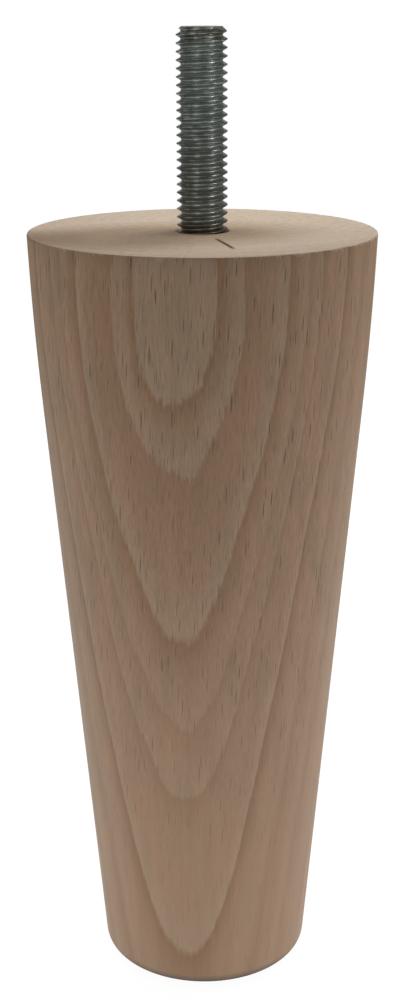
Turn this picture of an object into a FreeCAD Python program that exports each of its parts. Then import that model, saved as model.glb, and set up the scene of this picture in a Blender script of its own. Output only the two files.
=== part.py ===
# Tapered furniture leg: a turned beech leg with a hanger bolt driven into its top.
#
# Millimetres, +Z up. The origin is the middle of the foot's flat face, on the floor.
# The leg is one turning: a straight taper that eases off in a long arc under the top rim.
# The bolt is one piece of steel: a machine-thread stud above the wood, then a plain neck
# and a wood screw inside it. The stud is drawn at its thread's major diameter and the wood
# screw at its core, and the bore in the leg is drawn from the same sizes plus a clearance.
import FreeCAD
import Part
import PartDesign
import Sketcher

from enum import IntEnum
import math
import os

# Each driving size: its name in the sheet, its value and what it is.
# Lengths are in millimetres, and split_bearing is in degrees.
SIZES = [
    ("leg_height", 125.0, "from the floor to the face that meets the furniture"),
    ("top_diameter", 55.0, "across the top rim"),
    ("foot_diameter", 34.0, "across the taper at the floor, before its edge is rounded"),
    ("shoulder_drop", 28.0, "below the top: where the straight taper starts to ease off"),
    ("shoulder_bow", 0.7, "how far the eased rim stands inside the straight taper"),
    ("foot_round", 3.25, "radius of the rounded foot edge"),
    ("rim_break", 0.25, "radius sanded on the top rim"),
    ("stud_diameter", 8.0, "major diameter of the machine thread"),
    ("stud_length", 31.0, "stud above the top face, tip included"),
    ("stud_chamfer", 0.8, "bevel at the stud's tip"),
    ("neck_diameter", 7.1, "plain neck between the two threads"),
    ("neck_length", 4.0, "plain neck below the top face"),
    ("screw_core", 5.6, "core diameter of the wood screw"),
    ("screw_length", 26.0, "wood screw without its point"),
    ("point_length", 7.0, "gimlet point of the wood screw"),
    ("bore_clearance", 0.05, "room between the bolt and its bore, on each side"),
    ("mouth_room", 0.3, "room round the stud at the bore's countersunk mouth"),
    ("mouth_depth", 0.7, "depth of that countersink"),
    ("bore_spare", 2.0, "bore drilled on past the screw's point"),
    ("drill_point", 1.6, "height of the cone that the drill leaves at the bottom"),
    ("split_start", 9.4, "drying split in the end grain: its inner end, from the axis"),
    ("split_length", 9.9, "length of the split"),
    ("split_width", 0.35, "width of the split at its middle"),
    ("split_depth", 3.0, "depth of the split"),
    ("split_bearing", 13.6, "degrees from the front (-Y) towards +X"),
]
FULL_TURN = 360.0
FRONT_BEARING = -90.0  # degrees from +X to the front, -Y
SAME_HEIGHT = 1e-6  # two heights nearer than this are one
UPRIGHT = FreeCAD.Vector(0.0, 0.0, 1.0)

# Sketcher's own numbers: the ends of a line or arc, the two axes and the origin point.
LineEnd = IntEnum("LineEnd", ["START", "END"])
START = LineEnd.START
END = LineEnd.END
SketchAxis = IntEnum("SketchAxis", {"X": -1, "Y": -2})
X_AXIS = SketchAxis.X
Y_AXIS = SketchAxis.Y
ORIGIN = (X_AXIS, START)


def make_sheet(doc):
    """The spreadsheet of driving sizes, one row each, with the size's name as its alias."""
    sheet = doc.addObject("Spreadsheet::Sheet", "Sizes")
    for row, (name, value, meaning) in enumerate(SIZES, start=1):
        sheet.set(f"A{row}", name)
        sheet.set(f"B{row}", str(value))
        sheet.set(f"C{row}", meaning)
        sheet.setAlias(f"B{row}", name)
    doc.recompute()
    return sheet


def new_sketch(body, name, role):
    """An empty sketch on one of the body's own origin planes."""
    plane = next(feature for feature in body.Origin.OriginFeatures if feature.Role == role)
    sketch = body.newObject("Sketcher::SketchObject", name)
    sketch.AttachmentSupport = (plane, [""])
    sketch.MapMode = "FlatFace"
    return sketch


def at(x, y):
    """A point of a sketch."""
    return FreeCAD.Vector(x, y, 0.0)


def add_line(sketch, start, end, construction=False):
    """A straight line of the sketch; returns its number."""
    return sketch.addGeometry(Part.LineSegment(start, end), construction)


def add_outline(sketch, corners):
    """A closed chain of straight lines, with line number n leaving corner number n."""
    lines = []
    for start, end in zip(corners, corners[1:] + corners[:1]):
        lines.append(add_line(sketch, start, end))
    for line, following in zip(lines, lines[1:] + lines[:1]):
        constrain(sketch, "Coincident", line, END, following, START)
    return lines


def constrain(sketch, kind, *where):
    """A geometric rule of the sketch, without a size."""
    sketch.addConstraint(Sketcher.Constraint(kind, *where))


def constrain_each(sketch, kind, lines):
    """The same rule for several lines."""
    for line in lines:
        constrain(sketch, kind, line)


def dimension(sketch, kind, name, expression, *where):
    """A named dimension between two points of the sketch, bound to the sheet."""
    value = sketch.evalExpression(expression)
    number = sketch.addConstraint(Sketcher.Constraint(kind, *where, value))
    sketch.renameConstraint(number, name)
    sketch.setExpression(f"Constraints.{name}", expression)


def radius(sketch, name, expression, corner):
    """How far the corner that a line leaves stands from the axis of turning."""
    dimension(sketch, "DistanceX", name, expression, *ORIGIN, corner, START)


def height(sketch, name, expression, lower, upper):
    """How far one point stands above another; each is a line and its end."""
    dimension(sketch, "DistanceY", name, expression, *lower, *upper)


def turn(body, kind, name, sketch):
    """The sketch turned once round its upright axis, as a solid or as a cut."""
    feature = body.newObject(f"PartDesign::{kind}", name)
    feature.Profile = sketch
    feature.ReferenceAxis = (sketch, ["V_Axis"])
    feature.Angle = FULL_TURN
    body.Document.recompute()
    return feature


def dress_rim(body, kind, name, base, rim_height, size_property, expression):
    """A fillet or chamfer along the round edge that lies flat at one height of the base."""
    edges = []
    for number, edge in enumerate(base.Shape.Edges, start=1):
        flat = edge.BoundBox.ZLength < SAME_HEIGHT
        level = math.isclose(edge.BoundBox.Center.z, rim_height, abs_tol=SAME_HEIGHT)
        if flat and level and isinstance(edge.Curve, Part.Circle):
            edges.append(f"Edge{number}")
    feature = body.newObject(f"PartDesign::{kind}", name)
    feature.Base = (base, edges)
    feature.setExpression(size_property, expression)
    body.Document.recompute()
    return feature


def easing_arc(shoulder, taper, rim):
    """The arc that leaves the shoulder along the taper and ends at the rim."""
    chord = rim - shoulder
    inward = at(-taper.y, taper.x).normalize()
    arc_radius = chord.dot(chord) / (2.0 * inward.dot(chord))
    centre = shoulder + inward * arc_radius
    circle = Part.Circle(centre, UPRIGHT, arc_radius)
    return Part.ArcOfCircle(circle, circle.parameter(shoulder), circle.parameter(rim))


def draw_leg_profile(body, sheet):
    """Half the leg's outline: floor, straight taper, easing arc, top face and axis."""
    sketch = new_sketch(body, "LegProfile", "XZ_Plane")
    foot = at(sheet.foot_diameter / 2, 0.0)
    rim = at(sheet.top_diameter / 2, sheet.leg_height)
    taper_end = rim + at(sheet.shoulder_bow, 0.0)
    taper = taper_end - foot
    shoulder = taper_end - taper * (sheet.shoulder_drop / sheet.leg_height)
    top_centre = at(0.0, sheet.leg_height)

    floor = add_line(sketch, at(0.0, 0.0), foot)
    side = add_line(sketch, foot, shoulder)
    ease = sketch.addGeometry(easing_arc(shoulder, taper, rim), False)
    top = add_line(sketch, rim, top_centre)
    axis = add_line(sketch, top_centre, at(0.0, 0.0))
    taper_guide = add_line(sketch, shoulder, taper_end, construction=True)

    constrain(sketch, "Coincident", floor, START, *ORIGIN)
    constrain(sketch, "Coincident", floor, END, side, START)
    constrain(sketch, "Tangent", side, END, ease, START)
    constrain(sketch, "Coincident", ease, END, top, START)
    constrain(sketch, "Coincident", top, END, axis, START)
    constrain(sketch, "Coincident", axis, END, floor, START)
    constrain(sketch, "Coincident", taper_guide, START, side, END)
    constrain(sketch, "Parallel", taper_guide, side)
    constrain(sketch, "PointOnObject", taper_guide, END, top)
    constrain_each(sketch, "Horizontal", [floor, top])
    constrain_each(sketch, "Vertical", [axis])
    radius(sketch, "foot_radius", "Sizes.foot_diameter / 2", side)
    radius(sketch, "top_radius", "Sizes.top_diameter / 2", top)
    height(sketch, "leg_height", "Sizes.leg_height", ORIGIN, (top, END))
    height(sketch, "shoulder_drop", "Sizes.shoulder_drop", (side, END), (top, START))
    dimension(sketch, "DistanceX", "shoulder_bow", "Sizes.shoulder_bow", top, START, taper_guide, END)
    return sketch


def draw_bore_profile(body, sheet):
    """Half the bore for the bolt's neck and wood screw: countersunk, stepped, drill-pointed."""
    sketch = new_sketch(body, "BoreProfile", "XZ_Plane")
    sketch.setExpression("AttachmentOffset.Base.y", "Sizes.leg_height")
    mouth_radius = sheet.stud_diameter / 2 + sheet.mouth_room
    neck_radius = sheet.neck_diameter / 2 + sheet.bore_clearance
    pilot_radius = sheet.screw_core / 2 + sheet.bore_clearance
    bottom = -sheet.neck_length - sheet.screw_length - sheet.point_length - sheet.bore_spare
    corners = [
        at(0.0, bottom - sheet.drill_point),
        at(pilot_radius, bottom),
        at(pilot_radius, -sheet.neck_length),
        at(neck_radius, -sheet.neck_length),
        at(neck_radius, -sheet.mouth_depth),
        at(mouth_radius, 0.0),
        at(0.0, 0.0),
    ]
    cone, pilot, ledge, neck, countersink, mouth, axis = add_outline(sketch, corners)
    constrain(sketch, "Coincident", axis, START, *ORIGIN)
    constrain_each(sketch, "Vertical", [pilot, neck, axis])
    constrain_each(sketch, "Horizontal", [ledge, mouth])
    radius(sketch, "pilot_radius", "Sizes.screw_core / 2 + Sizes.bore_clearance", pilot)
    radius(sketch, "neck_radius", "Sizes.neck_diameter / 2 + Sizes.bore_clearance", neck)
    radius(sketch, "mouth_radius", "Sizes.stud_diameter / 2 + Sizes.mouth_room", mouth)
    height(sketch, "mouth_depth", "Sizes.mouth_depth", (countersink, START), ORIGIN)
    height(sketch, "neck_depth", "Sizes.neck_length", (ledge, START), ORIGIN)
    pilot_depth = "Sizes.neck_length + Sizes.screw_length + Sizes.point_length + Sizes.bore_spare"
    height(sketch, "pilot_depth", pilot_depth, (pilot, START), ORIGIN)
    height(sketch, "drill_point", "Sizes.drill_point", (cone, START), (cone, END))
    return sketch


def draw_split(body, sheet):
    """The drying split in the end grain: a long thin kite on the top face, pointing outwards."""
    sketch = new_sketch(body, "SplitOutline", "XY_Plane")
    bearing = FreeCAD.Rotation(UPRIGHT, FRONT_BEARING + sheet.split_bearing)
    sketch.AttachmentOffset = FreeCAD.Placement(at(0.0, 0.0), bearing)
    sketch.setExpression("AttachmentOffset.Rotation.Angle", f"{FRONT_BEARING} + Sizes.split_bearing")
    sketch.setExpression("AttachmentOffset.Base.z", "Sizes.leg_height")
    middle = sheet.split_start + sheet.split_length / 2
    corners = [
        at(sheet.split_start, 0.0),
        at(middle, -sheet.split_width / 2),
        at(sheet.split_start + sheet.split_length, 0.0),
        at(middle, sheet.split_width / 2),
    ]
    inner_right, outer_right, outer_left, inner_left = add_outline(sketch, corners)
    constrain(sketch, "PointOnObject", inner_right, START, X_AXIS)
    constrain(sketch, "PointOnObject", outer_left, START, X_AXIS)
    constrain(sketch, "Symmetric", outer_right, START, inner_left, START, X_AXIS)
    constrain(sketch, "Equal", inner_right, outer_right)
    radius(sketch, "split_start", "Sizes.split_start", inner_right)
    split_length = (inner_right, START, outer_left, START)
    dimension(sketch, "DistanceX", "split_length", "Sizes.split_length", *split_length)
    height(sketch, "split_width", "Sizes.split_width", (outer_right, START), (inner_left, START))
    return sketch


def make_leg(doc, sheet):
    """The turned leg, with its rounded foot, the bolt's bore and the split in its end grain."""
    body = doc.addObject("PartDesign::Body", "leg")
    turned = turn(body, "Revolution", "Turning", draw_leg_profile(body, sheet))
    rounded = dress_rim(body, "Fillet", "FootRound", turned, 0.0, "Radius", "Sizes.foot_round")
    sanded = dress_rim(body, "Fillet", "RimBreak", rounded, sheet.leg_height, "Radius", "Sizes.rim_break")
    bored = turn(body, "Groove", "Bore", draw_bore_profile(body, sheet))
    split = body.newObject("PartDesign::Pocket", "Split")
    split.Profile = draw_split(body, sheet)
    split.setExpression("Length", "Sizes.split_depth")
    doc.recompute()
    stages = [turned, rounded, sanded, bored, split]
    for before, after in zip(stages, stages[1:]):
        if not after.Shape.Volume < before.Shape.Volume:
            raise RuntimeError(f"{after.Name} took nothing off the leg")
    return body


def draw_bolt_profile(body, sheet):
    """Half the bolt's outline, with the foot of the stud at height 0 and the rest below it."""
    sketch = new_sketch(body, "BoltProfile", "XZ_Plane")
    core_radius = sheet.screw_core / 2
    neck_radius = sheet.neck_diameter / 2
    stud_radius = sheet.stud_diameter / 2
    screw_end = -sheet.neck_length - sheet.screw_length
    corners = [
        at(0.0, screw_end - sheet.point_length),
        at(core_radius, screw_end),
        at(core_radius, -sheet.neck_length),
        at(neck_radius, -sheet.neck_length),
        at(neck_radius, 0.0),
        at(stud_radius, 0.0),
        at(stud_radius, sheet.stud_length),
        at(0.0, sheet.stud_length),
    ]
    tip, screw, ledge, neck, shoulder, stud, end, axis = add_outline(sketch, corners)
    constrain(sketch, "PointOnObject", axis, START, Y_AXIS)
    constrain(sketch, "PointOnObject", stud, START, X_AXIS)
    constrain_each(sketch, "Vertical", [screw, neck, stud, axis])
    constrain_each(sketch, "Horizontal", [ledge, shoulder, end])
    radius(sketch, "core_radius", "Sizes.screw_core / 2", screw)
    radius(sketch, "neck_radius", "Sizes.neck_diameter / 2", neck)
    radius(sketch, "stud_radius", "Sizes.stud_diameter / 2", stud)
    height(sketch, "point_length", "Sizes.point_length", (tip, START), (tip, END))
    height(sketch, "screw_length", "Sizes.screw_length", (screw, START), (screw, END))
    height(sketch, "neck_length", "Sizes.neck_length", (neck, START), (neck, END))
    height(sketch, "stud_length", "Sizes.stud_length", (stud, START), (stud, END))
    return sketch


def make_hanger_bolt(doc, sheet):
    """The bolt, set at the leg's top face, where its neck's ledge meets the ledge in the bore."""
    body = doc.addObject("PartDesign::Body", "hanger_bolt")
    shank = turn(body, "Revolution", "Shank", draw_bolt_profile(body, sheet))
    dress_rim(body, "Chamfer", "StudTip", shank, sheet.stud_length, "Size", "Sizes.stud_chamfer")
    body.setExpression("Placement.Base.z", "Sizes.leg_height")
    doc.recompute()
    return body


def check_document(doc, bodies):
    """Stops before anything is written if a feature failed or a body is no sound solid."""
    for thing in doc.Objects:
        if "Invalid" in thing.State or "Error" in thing.State:
            raise RuntimeError(f"{thing.Name} failed: {thing.State}")
    for thing in doc.findObjects("Sketcher::SketchObject"):
        if not thing.FullyConstrained:
            raise RuntimeError(f"{thing.Name} isn't fully constrained")
    for body in bodies:
        shape = body.Shape
        if shape.isNull() or not shape.isValid() or len(shape.Solids) != 1:
            raise RuntimeError(f"{body.Label} isn't one sound solid")


def main():
    """Builds the document, checks it and writes one file for each piece."""
    doc = FreeCAD.newDocument("TaperedLeg")
    sheet = make_sheet(doc)
    bodies = [make_leg(doc, sheet), make_hanger_bolt(doc, sheet)]
    check_document(doc, bodies)
    os.makedirs("parts", exist_ok=True)
    for body in bodies:
        body.Shape.exportStep(f"parts/{body.Label}.step")
        box = body.Shape.BoundBox
        print(f"{body.Label}: {body.Shape.Volume:.1f} mm3, z {box.ZMin:.2f} to {box.ZMax:.2f}")


main()
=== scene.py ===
# %% [markdown]
# # A tapered beech leg with a threaded stud
#
# The object is a furniture leg: one piece of beech, turned to a taper, with a zinc-plated hanger bolt
# driven into its top. Its solids already have their real size and place, so this lesson only dresses
# them. It reads the overall sizes from the solids, then adds what they leave plain: the grain of the
# wood, the ragged drying split and the two threads of the bolt.

import math

import bmesh
import bpy
from mathutils import Euler, Matrix, Vector, noise


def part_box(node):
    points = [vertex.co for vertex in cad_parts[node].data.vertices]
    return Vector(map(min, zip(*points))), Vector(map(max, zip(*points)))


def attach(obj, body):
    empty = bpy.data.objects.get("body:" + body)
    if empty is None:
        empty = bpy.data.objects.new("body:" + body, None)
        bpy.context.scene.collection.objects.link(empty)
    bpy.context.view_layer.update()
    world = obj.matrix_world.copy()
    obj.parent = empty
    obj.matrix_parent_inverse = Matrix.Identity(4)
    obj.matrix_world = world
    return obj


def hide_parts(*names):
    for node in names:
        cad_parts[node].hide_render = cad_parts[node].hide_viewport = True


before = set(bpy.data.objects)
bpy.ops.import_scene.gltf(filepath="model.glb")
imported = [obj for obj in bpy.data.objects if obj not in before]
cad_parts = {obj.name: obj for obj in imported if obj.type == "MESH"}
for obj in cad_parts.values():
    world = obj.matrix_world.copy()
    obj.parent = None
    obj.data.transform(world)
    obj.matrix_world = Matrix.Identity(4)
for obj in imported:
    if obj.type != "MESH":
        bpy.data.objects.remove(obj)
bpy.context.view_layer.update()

MM = 0.001  # the scene is in metres, and a maker thinks in millimetres
leg_low, leg_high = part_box("leg")
bolt_low, bolt_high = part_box("hanger_bolt")
LEG_HEIGHT = leg_high.z
TOP_RADIUS = leg_high.x
print("leg from mm", leg_low.z / MM, "to mm", LEG_HEIGHT / MM, "top radius mm", TOP_RADIUS / MM)
print("bolt from mm", bolt_low.z / MM, "to mm", bolt_high.z / MM)

# %% [markdown]
# ## Formulas in nodes
#
# Both the materials and the threads are formulas. In Blender a formula is a tree of nodes, and written
# one node at a time it fills a page. The two small classes below let a node's output stand in a formula
# like a plain number: each sum or product adds the node for it, so the rest of this lesson reads nearly
# as on paper.

# %% A node's output as a number


class NodeValue:
    """The output of a node, which a formula can use like a plain number."""

    def __init__(self, sheet, socket):
        self.sheet = sheet
        self.socket = socket

    def __add__(self, other):
        return self.sheet.calc("ADD", self, other)

    def __sub__(self, other):
        return self.sheet.calc("SUBTRACT", self, other)

    def __rsub__(self, other):
        return self.sheet.calc("SUBTRACT", other, self)

    def __mul__(self, other):
        return self.sheet.calc("MULTIPLY", self, other)

    def __truediv__(self, other):
        return self.sheet.calc("DIVIDE", self, other)

    def __pow__(self, power):
        return self.sheet.calc("POWER", self, power)

    def __rpow__(self, base):
        return self.sheet.calc("POWER", base, self)

    def __abs__(self):
        return self.sheet.calc("ABSOLUTE", self)

    __radd__ = __add__
    __rmul__ = __mul__

    def ramp(self, start, end, low=0.0, high=1.0, shape="LINEAR"):
        """Goes from low to high as the value goes from start to end, and stays there outside."""
        node = self.sheet.add("ShaderNodeMapRange", interpolation_type=shape)
        return self.sheet.through(node, "Result", self, start, end, low, high)

    def between(self, low, high):
        """Low where the value is 0, and high where it is 1."""
        return self.ramp(0.0, 1.0, low, high)


print("ready", NodeValue.__name__)

# %% A sheet of nodes


class NodeSheet:
    """One node tree, with short ways to add nodes and to feed their inputs."""

    def __init__(self, tree):
        self.tree = tree

    def add(self, kind, **settings):
        node = self.tree.nodes.new(kind)
        for name, value in settings.items():
            setattr(node, name, value)
        return node

    def feed(self, socket, value):
        """Links another node's output to this input, or sets the input to a plain value."""
        if isinstance(value, NodeValue):
            self.tree.links.new(value.socket, socket)
        else:
            socket.default_value = value

    def out(self, node, output):
        return NodeValue(self, node.outputs[output])

    def through(self, node, output, *values, **named):
        """Feeds a node's inputs, in their order or by their names, and hands back one output."""
        for socket, value in zip(node.inputs, values):
            self.feed(socket, value)
        for name, value in named.items():
            self.feed(node.inputs[name], value)
        return self.out(node, output)

    def calc(self, operation, *values, clamp=False):
        node = self.add("ShaderNodeMath", operation=operation, use_clamp=clamp)
        return self.through(node, "Value", *values)

    def least(self, one, other):
        return self.calc("MINIMUM", one, other)

    def most(self, one, other):
        return self.calc("MAXIMUM", one, other)

    def length(self, across, along):
        """The long side of a right-angled triangle."""
        return self.calc("SQRT", across * across + along * along)

    def triple(self, x, y, z):
        return self.through(self.add("ShaderNodeCombineXYZ"), "Vector", x, y, z)

    def apart(self, vector):
        node = self.add("ShaderNodeSeparateXYZ")
        self.feed(node.inputs["Vector"], vector)
        return [NodeValue(self, socket) for socket in node.outputs]

    def scaled(self, vector, factor):
        node = self.add("ShaderNodeVectorMath", operation="SCALE")
        return self.through(node, "Vector", vector, Scale=factor)

    def cloud(self, place, detail=2.0, roughness=0.5):
        """Soft noise from 0 to 1, one lump to each unit of the place that it is given."""
        node = self.add("ShaderNodeTexNoise")
        return self.through(node, "Fac", Vector=place, Scale=1.0, Detail=detail, Roughness=roughness)

    def tint(self, share, under, over, mode="MIX"):
        """Lays one colour over another, by a share from 0 to 1."""
        node = self.add("ShaderNodeMix", data_type="RGBA", blend_type=mode)
        for index, value in ((0, share), (6, under), (7, over)):  # its sockets for colours
            self.feed(node.inputs[index], value)
        return self.out(node, 2)


print("ready", NodeSheet.__name__)

# %% Empty materials


def empty_material(name):
    """A node material with nothing in it but its output."""
    material = bpy.data.materials.new(name)
    material.use_nodes = True
    material.node_tree.nodes.clear()
    sheet = NodeSheet(material.node_tree)
    return material, sheet, sheet.add("ShaderNodeOutputMaterial")


def surface_material(name):
    """A node material with one main shader."""
    material, sheet, output = empty_material(name)
    shader = sheet.add("ShaderNodeBsdfPrincipled")
    sheet.feed(output.inputs["Surface"], sheet.out(shader, "BSDF"))
    return material, sheet, shader


def own_place(sheet):
    """A point's own place on the piece, in metres."""
    return sheet.out(sheet.add("ShaderNodeTexCoord"), "Object")


print("millimetres in a metre", 1.0 / MM)

# %% [markdown]
# ## Beech, from the tree outwards
#
# The grain of turned wood could be painted on as streaks, but then it would not meet at the edges and
# would slide over the taper. Real grain is solid: growth rings are long cylinders round the tree's
# pith, and a lathe cuts through them. The arches on the front of this leg are where the taper cuts
# rings whose pith runs nearly upright behind the leg's axis. So the material first measures how far
# each point lay from that pith, and every pattern below follows from it.

# %% Where the tree's pith ran
LEG_MIDDLE = 62.5  # mm above the floor, half the leg's height
PITH_X = 2.5  # mm, where the pith crosses that height
PITH_Y = 15.2
PITH_LEAN_X = -0.8  # mm that it has moved at the leg's top
PITH_LEAN_Y = -2.8
PITH_BEND_Y = -0.2


def place_in_tree(sheet):
    """A point's place in millimetres, its distance from the pith and its angle round it."""
    x, y, z = sheet.apart(sheet.scaled(own_place(sheet), 1.0 / MM))
    rise = (z - LEG_MIDDLE) / LEG_MIDDLE
    across = x - (PITH_X + PITH_LEAN_X * rise)
    ahead = PITH_Y + rise * (PITH_LEAN_Y + PITH_BEND_Y * rise) - y
    angle = sheet.calc("ARCTAN2", across, ahead)
    return (x, y, z), sheet.length(across, ahead), angle


print("pith behind the axis at the top mm", PITH_Y + PITH_LEAN_Y + PITH_BEND_Y)

# %% [markdown]
# ## Rings that wander
#
# No tree grows in true circles. Slow noise lets each ring waver, and a fine noise, drawn out along the
# grain, staggers its edge from fibre to fibre, so that an arch ends in small steps and not in a drawn
# line. On one side the tree had a shallow dip in its rings, a flute, which pulls the foot of an arch
# down to a point. All three only shift the distance from the pith, so they need no pattern of their own.

# %% Noise along the grain, and the shifted distance
WAVER = 0.30  # mm
WAVER_SIZE = (6.0, 40.0)  # mm across the grain and along it
STAGGER = 0.10
STAGGER_SIZE = (0.35, 3.5)
FLUTE_ANGLE = math.radians(-7.5)
FLUTE_WIDTH = math.radians(13.0)
FLUTE_DEPTH = 0.16  # mm
FLUTE_START = (36.5, 38.2)  # mm from the pith, over which the flute deepens
FLUTE_END = (38.5, 39.2)  # and over which the tree outgrows most of it
FLUTE_LEFT = 0.2


def stretched(sheet, spot, size, detail=2.0, roughness=0.5):
    """Noise whose lumps have this size in millimetres, across the grain and along it."""
    x, y, z = spot
    width, length = size
    return sheet.cloud(sheet.triple(x / width, y / width, z / length), detail, roughness)


def ring_distance(sheet, spot, distance, angle):
    """The distance from the pith, as a ring that wanders would have it."""
    waver = WAVER * (stretched(sheet, spot, WAVER_SIZE) - 0.5)
    stagger = STAGGER * (stretched(sheet, spot, STAGGER_SIZE, detail=1.0) - 0.5)
    flute = abs(angle - FLUTE_ANGLE).ramp(0.0, FLUTE_WIDTH, FLUTE_DEPTH, 0.0)
    flute = flute * distance.ramp(*FLUTE_START) * distance.ramp(*FLUTE_END, 1.0, FLUTE_LEFT)
    return distance + waver + stagger + flute


print("rings shift by up to mm", 0.5 * (WAVER + STAGGER) + FLUTE_DEPTH)

# %% [markdown]
# ## Growth rings
#
# Within one year's ring the wood darkens slowly outwards and ends in a thin dark line of late wood. The
# next ring starts pale at once, and that one-sided edge is what makes the arches read as wood. Rings at
# even steps would put the arches anywhere, so the rings that cross the front have radii and strengths
# of their own. Further in, where no arch is seen, rings about two millimetres wide follow a count with
# some drift.

# %% Rings that cross the front
# outer radius, width of the late wood and softness of its edge in mm, and how dark it is
FRONT_RINGS = (
    (31.30, 1.50, 0.70, 0.30),
    (33.50, 1.20, 0.50, 0.40),
    (35.38, 0.80, 0.08, 1.00),
    (36.83, 0.40, 0.05, 0.55),
    (37.45, 0.35, 0.05, 0.40),
    (38.17, 0.60, 0.07, 1.00),
    (39.23, 1.30, 0.03, 0.70),
    (39.61, 0.28, 0.03, 1.00),
)
LATE_RISE = 2.2  # power of the darkening towards the ring's edge
PALE_WIDTH = 0.40  # mm of pale early wood after an edge


def front_rings(sheet, distance):
    """How dark the late wood is, and how pale the early wood is, each from 0 to 1."""
    dark = 0.0
    pale = 0.0
    for edge, width, softness, strength in FRONT_RINGS:
        over = edge + softness
        rising = distance.ramp(edge - width, edge) ** LATE_RISE
        falling = distance.ramp(edge, over, 1.0, 0.0)
        dark = sheet.most(sheet.least(rising, falling) * strength, dark)
        begun = distance.ramp(edge, over)
        ending = distance.ramp(over + PALE_WIDTH, over)
        pale = sheet.most(sheet.least(ending, begun) * strength, pale)
    return dark, pale


print("front rings", len(FRONT_RINGS))

# %% Counted rings further in
INNER_EDGE = 29.0  # mm from the pith, where the counted rings end
INNER_FADE = 0.2
INNER_SPACING = 2.0  # mm from ring to ring
INNER_PEAK = 0.75  # share of a ring's width at which it is darkest
INNER_STRENGTH = (0.2, 0.6)


def inner_rings(sheet, distance):
    """How dark the late wood of the counted rings is, from 0 to 1."""
    count = distance / INNER_SPACING + sheet.cloud(sheet.triple(distance, 0.0, 0.0))
    within = sheet.calc("FRACT", count)
    within = sheet.least(within, within.ramp(INNER_PEAK, 1.0, INNER_PEAK, 0.0))
    dice = sheet.add("ShaderNodeTexWhiteNoise", noise_dimensions="1D")
    strength = sheet.through(dice, "Value", W=sheet.calc("FLOOR", count)).between(*INNER_STRENGTH)
    return within * strength * distance.ramp(INNER_EDGE - INNER_FADE, INNER_EDGE, 1.0, 0.0)


print("counted rings", round(INNER_EDGE / INNER_SPACING))

# %% [markdown]
# ## Rays
#
# Beech is told by its rays: thin dark sheets that run from the pith outwards. Where the lathe cuts
# across them they show as short upright dashes, and on the end grain as fine radial lines. Cells of a
# Voronoi pattern, laid out by the angle round the pith and by the height, give one dash each. A tree
# adds rays as it grows, so the count doubles each time the distance doubles. Two layers, one of long
# dashes and one of short, faint ones, keep the pattern from looking combed.

# %% One layer of rays
RAY_SKEW = -0.62  # how far each column of cells is shifted, so that the dashes form no rows
RAY_SHIFT = 31.7  # cells that each doubling is shifted by, so that its dashes are other ones
RAY_DICE = (0.1, 0.95)  # draws below the first give no dash, and above the second a full one
RAY_DEEPEN = 1.3
RAY_SOFTEN = 0.4  # share of a dash's reach over which it fades


def ray_layer(sheet, z, round_ring, generation, layer):
    """One layer of dashes, each in a cell of its own, from 0 to 1."""
    around, upwards, thin, thick, strength = layer
    column = round_ring / around
    level = column * RAY_SKEW + z / upwards + generation * RAY_SHIFT
    cells = sheet.add("ShaderNodeTexVoronoi", voronoi_dimensions="2D")
    from_middle = sheet.through(cells, "Distance", Vector=sheet.triple(column, level, 0.0), Scale=1.0)
    dice = sheet.add("ShaderNodeSeparateColor")
    reach = sheet.through(dice, "Red", Color=sheet.out(cells, "Color")).between(thin, thick)
    depth = sheet.out(dice, "Green").ramp(*RAY_DICE) ** RAY_DEEPEN * strength
    return (1.0 - from_middle / reach).ramp(0.0, RAY_SOFTEN) * depth


print("cells with a dash, share", 1.0 - RAY_DICE[0])

# %% Both layers of rays
RAY_BASE = 12.5  # mm from the pith, where the first doubling starts
RAY_MIDDLE = 1.4  # times the radius at which a doubling starts, where its spacing is true
RAY_TILT = -0.02  # how far the rays lean from upright, across for each mm upwards
RAY_LAYERS = (  # spacing round the ring and upwards in mm, least and most reach in cells, strength
    (0.60, 8.5, 0.10, 0.19, 1.0),
    (0.40, 5.5, 0.09, 0.17, 0.60),
)


def ray_dashes(sheet, z, distance, angle):
    """Dark dashes, from 0 to 1, where the wood's rays come to the surface."""
    doublings = sheet.calc("LOGARITHM", sheet.most(distance, 1.0) / RAY_BASE, 2.0)
    generation = sheet.calc("FLOOR", doublings)
    ring_radius = 2.0**generation * (RAY_MIDDLE * RAY_BASE)
    round_ring = angle * ring_radius + z * RAY_TILT
    dashes = 0.0
    for layer in RAY_LAYERS:
        dashes = sheet.most(ray_layer(sheet, z, round_ring, generation, layer), dashes)
    return dashes


print("ray layers", len(RAY_LAYERS))

# %% [markdown]
# ## End grain
#
# Sawn across the fibres, beech is duller than along them. Its colour here is paler too, and that is
# partly painted light, as light from above falls on the top. The way that a face points tells the one
# from the other, so the top and the underside need no material of their own. Along the rim the tool
# tore out small chips, which show as pale end grain below the edge. A mesh of chips would be finer
# than a pixel, so a cloud of noise decides how far each one reaches down.

# %% End grain and the chipped rim
END_TURN = (0.55, 0.9)  # upward part of a face's direction, from long grain to end grain
CHIP_CLOUD = (0.48, 0.75)  # noise from which a chip starts, and at which it is longest
CHIP_DEPTH = 0.7  # mm that the longest chips reach down from the rim
CHIP_SHARE = 0.6
RIM_EDGE = 0.12  # mm below the top, where the rim's rounding is half over


def end_grain_share(sheet, spot):
    """How far a point shows end grain, from 0 to 1, and the crumbly noise of its surface."""
    x, y, z = spot
    normal = sheet.out(sheet.add("ShaderNodeNewGeometry"), "True Normal")
    share = abs(sheet.apart(normal)[2]).ramp(*END_TURN, shape="SMOOTHSTEP")
    crumbs = sheet.cloud(sheet.triple(x, y, 0.0), 3.0, 0.7)
    chip_foot = (LEG_HEIGHT / MM - RIM_EDGE) - crumbs.ramp(*CHIP_CLOUD, 0.0, CHIP_DEPTH)
    chipped = sheet.calc("GREATER_THAN", z, chip_foot) * CHIP_SHARE
    return sheet.most(share, chipped), crumbs


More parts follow.
